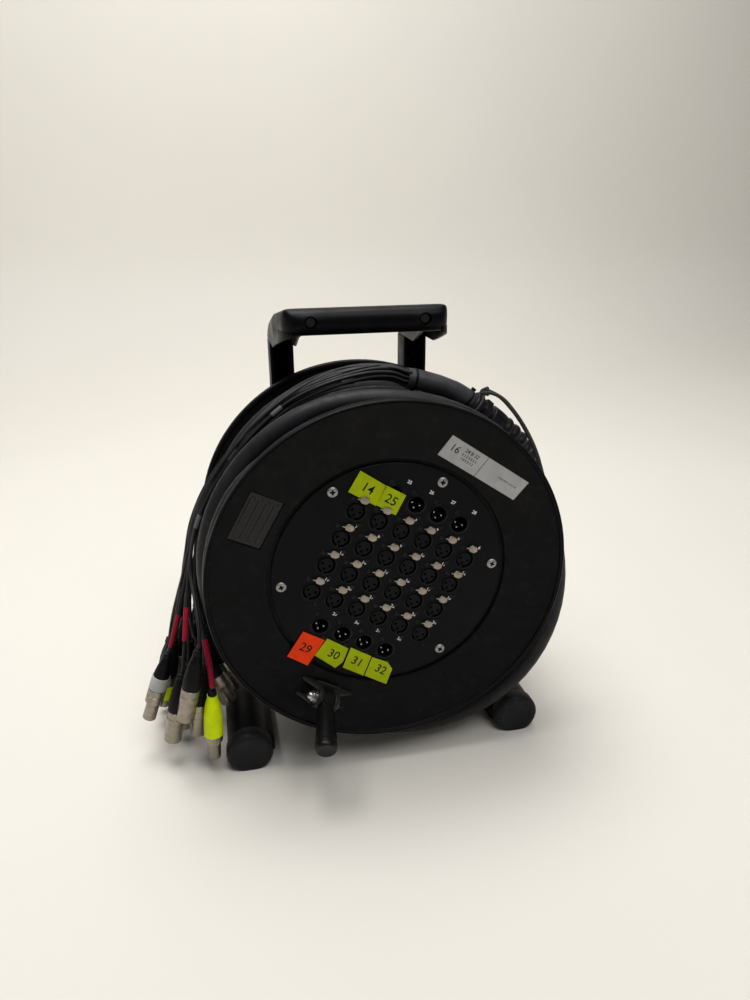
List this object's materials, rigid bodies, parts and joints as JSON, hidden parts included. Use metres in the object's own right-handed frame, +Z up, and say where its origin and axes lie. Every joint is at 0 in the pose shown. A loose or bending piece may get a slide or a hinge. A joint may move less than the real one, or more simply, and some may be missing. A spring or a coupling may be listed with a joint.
{
  "type": "stage box snake",
  "caption": "Cable drum stage box: audio sockets in the front flange, thick multicore wound on a standing drum, thin plug tails.",
  "frame": {"origin": "on the floor, under the middle of the frame and drum", "axes": "+X to the right seen from the socket panel's side, +Y from the socket panel to the frame's legs, along the drum's axis, +Z up"},
  "size_m": [0.4751, 0.34, 0.4915],
  "materials": {
    "drum_plastic": "fine-grained moulded black plastic, slightly worn on the rims",
    "frame_plastic": "fine-grained moulded black plastic",
    "crank_plastic": "moulded black plastic",
    "foot_rubber": "moulded black rubber with a soft sheen",
    "panel_black": "black satin coat, with black moulded sockets",
    "latch_metal": "warm silver satin metal",
    "steel": "zinc-plated steel",
    "bush_brass": "plain turned brass",
    "cable_jacket": "smooth black cable jacket with a soft sheen",
    "gland_plastic": "moulded black nylon",
    "boot_rubber": "black heat-shrink sleeve with a soft sheen",
    "tie_cord": "black braided cord",
    "tail_jacket": "thin smooth black cable jacket",
    "plug_metal": "warm nickel plate, lightly worn, with a black rubber boot"
  },
  "bodies": {
    "frame": {"rear_frame": "frame_plastic", "carry_handle": "frame_plastic", "foot_bar_left": "frame_plastic", "foot_bar_right": "frame_plastic", "foot_cap_front_left": "foot_rubber", "foot_cap_front_right": "foot_rubber", "foot_cap_rear_left": "foot_rubber", "foot_cap_rear_right": "foot_rubber", "axle_spindle": "steel", "axle_nut": "steel", "cable_outer_turns": "cable_jacket", "bend_protector": "gland_plastic", "gland_cap_nut": "gland_plastic", "gland_body": "gland_plastic", "breakout_boot": "boot_rubber", "tie_cord": "tie_cord", "tail_cords": "tail_jacket", "tail_plug_1": "plug_metal", "tail_plug_2": "plug_metal", "tail_plug_3": "plug_metal", "tail_plug_4": "plug_metal", "tail_plug_5": "plug_metal", "tail_plug_6": "plug_metal", "tail_plug_7": "plug_metal", "tail_plug_8": "plug_metal", "tail_plug_9": "plug_metal"},
    "drum": {"front_flange": "drum_plastic", "rear_flange": "drum_plastic", "drum_barrel": "drum_plastic", "cable_inner_layers": "cable_jacket", "hub_bush": "bush_brass", "socket_panel": "panel_black", "crank_bracket": "crank_plastic", "crank_bolt": "steel", "crank_nut": "steel"},
    "crank": {"crank_handle": "crank_plastic"},
    "latch_01": {"latch_tab_01": "latch_metal"},
    "latch_02": {"latch_tab_02": "latch_metal"},
    "latch_03": {"latch_tab_03": "latch_metal"},
    "latch_04": {"latch_tab_04": "latch_metal"},
    "latch_05": {"latch_tab_05": "latch_metal"},
    "latch_06": {"latch_tab_06": "latch_metal"},
    "latch_07": {"latch_tab_07": "latch_metal"},
    "latch_08": {"latch_tab_08": "latch_metal"},
    "latch_09": {"latch_tab_09": "latch_metal"},
    "latch_10": {"latch_tab_10": "latch_metal"},
    "latch_11": {"latch_tab_11": "latch_metal"},
    "latch_12": {"latch_tab_12": "latch_metal"},
    "latch_13": {"latch_tab_13": "latch_metal"},
    "latch_14": {"latch_tab_14": "latch_metal"},
    "latch_15": {"latch_tab_15": "latch_metal"},
    "latch_16": {"latch_tab_16": "latch_metal"},
    "latch_17": {"latch_tab_17": "latch_metal"},
    "latch_18": {"latch_tab_18": "latch_metal"},
    "latch_19": {"latch_tab_19": "latch_metal"},
    "latch_20": {"latch_tab_20": "latch_metal"},
    "latch_21": {"latch_tab_21": "latch_metal"},
    "latch_22": {"latch_tab_22": "latch_metal"},
    "latch_23": {"latch_tab_23": "latch_metal"},
    "latch_24": {"latch_tab_24": "latch_metal"}
  },
  "joints": [
    {"name": "drum_spin", "type": "hinge", "parent": "frame", "child": "drum", "pos_m": [0, 0, 0.2305], "axis": [0, 1, 0], "continuous": true},
    {"name": "crank_fold", "type": "hinge", "parent": "drum", "child": "crank", "pos_m": [-0.07386, -0.10598, 0.09995], "axis": [-0.8704, 0, 0.4924], "range_deg": [0, 104]},
    {"name": "latch_press_01", "type": "slide", "parent": "drum", "child": "latch_01", "axis": [0, 1, 0], "range_m": [0, 0.0014], "stiffness_N_per_m": 1200, "springref_m": -0.001},
    {"name": "latch_press_02", "type": "slide", "parent": "drum", "child": "latch_02", "axis": [0, 1, 0], "range_m": [0, 0.0014], "stiffness_N_per_m": 1200, "springref_m": -0.001},
    {"name": "latch_press_03", "type": "slide", "parent": "drum", "child": "latch_03", "axis": [0, 1, 0], "range_m": [0, 0.0014], "stiffness_N_per_m": 1200, "springref_m": -0.001},
    {"name": "latch_press_04", "type": "slide", "parent": "drum", "child": "latch_04", "axis": [0, 1, 0], "range_m": [0, 0.0014], "stiffness_N_per_m": 1200, "springref_m": -0.001},
    {"name": "latch_press_05", "type": "slide", "parent": "drum", "child": "latch_05", "axis": [0, 1, 0], "range_m": [0, 0.0014], "stiffness_N_per_m": 1200, "springref_m": -0.001},
    {"name": "latch_press_06", "type": "slide", "parent": "drum", "child": "latch_06", "axis": [0, 1, 0], "range_m": [0, 0.0014], "stiffness_N_per_m": 1200, "springref_m": -0.001},
    {"name": "latch_press_07", "type": "slide", "parent": "drum", "child": "latch_07", "axis": [0, 1, 0], "range_m": [0, 0.0014], "stiffness_N_per_m": 1200, "springref_m": -0.001},
    {"name": "latch_press_08", "type": "slide", "parent": "drum", "child": "latch_08", "axis": [0, 1, 0], "range_m": [0, 0.0014], "stiffness_N_per_m": 1200, "springref_m": -0.001},
    {"name": "latch_press_09", "type": "slide", "parent": "drum", "child": "latch_09", "axis": [0, 1, 0], "range_m": [0, 0.0014], "stiffness_N_per_m": 1200, "springref_m": -0.001},
    {"name": "latch_press_10", "type": "slide", "parent": "drum", "child": "latch_10", "axis": [0, 1, 0], "range_m": [0, 0.0014], "stiffness_N_per_m": 1200, "springref_m": -0.001},
    {"name": "latch_press_11", "type": "slide", "parent": "drum", "child": "latch_11", "axis": [0, 1, 0], "range_m": [0, 0.0014], "stiffness_N_per_m": 1200, "springref_m": -0.001},
    {"name": "latch_press_12", "type": "slide", "parent": "drum", "child": "latch_12", "axis": [0, 1, 0], "range_m": [0, 0.0014], "stiffness_N_per_m": 1200, "springref_m": -0.001},
    {"name": "latch_press_13", "type": "slide", "parent": "drum", "child": "latch_13", "axis": [0, 1, 0], "range_m": [0, 0.0014], "stiffness_N_per_m": 1200, "springref_m": -0.001},
    {"name": "latch_press_14", "type": "slide", "parent": "drum", "child": "latch_14", "axis": [0, 1, 0], "range_m": [0, 0.0014], "stiffness_N_per_m": 1200, "springref_m": -0.001},
    {"name": "latch_press_15", "type": "slide", "parent": "drum", "child": "latch_15", "axis": [0, 1, 0], "range_m": [0, 0.0014], "stiffness_N_per_m": 1200, "springref_m": -0.001},
    {"name": "latch_press_16", "type": "slide", "parent": "drum", "child": "latch_16", "axis": [0, 1, 0], "range_m": [0, 0.0014], "stiffness_N_per_m": 1200, "springref_m": -0.001},
    {"name": "latch_press_17", "type": "slide", "parent": "drum", "child": "latch_17", "axis": [0, 1, 0], "range_m": [0, 0.0014], "stiffness_N_per_m": 1200, "springref_m": -0.001},
    {"name": "latch_press_18", "type": "slide", "parent": "drum", "child": "latch_18", "axis": [0, 1, 0], "range_m": [0, 0.0014], "stiffness_N_per_m": 1200, "springref_m": -0.001},
    {"name": "latch_press_19", "type": "slide", "parent": "drum", "child": "latch_19", "axis": [0, 1, 0], "range_m": [0, 0.0014], "stiffness_N_per_m": 1200, "springref_m": -0.001},
    {"name": "latch_press_20", "type": "slide", "parent": "drum", "child": "latch_20", "axis": [0, 1, 0], "range_m": [0, 0.0014], "stiffness_N_per_m": 1200, "springref_m": -0.001},
    {"name": "latch_press_21", "type": "slide", "parent": "drum", "child": "latch_21", "axis": [0, 1, 0], "range_m": [0, 0.0014], "stiffness_N_per_m": 1200, "springref_m": -0.001},
    {"name": "latch_press_22", "type": "slide", "parent": "drum", "child": "latch_22", "axis": [0, 1, 0], "range_m": [0, 0.0014], "stiffness_N_per_m": 1200, "springref_m": -0.001},
    {"name": "latch_press_23", "type": "slide", "parent": "drum", "child": "latch_23", "axis": [0, 1, 0], "range_m": [0, 0.0014], "stiffness_N_per_m": 1200, "springref_m": -0.001},
    {"name": "latch_press_24", "type": "slide", "parent": "drum", "child": "latch_24", "axis": [0, 1, 0], "range_m": [0, 0.0014], "stiffness_N_per_m": 1200, "springref_m": -0.001}
  ]
}
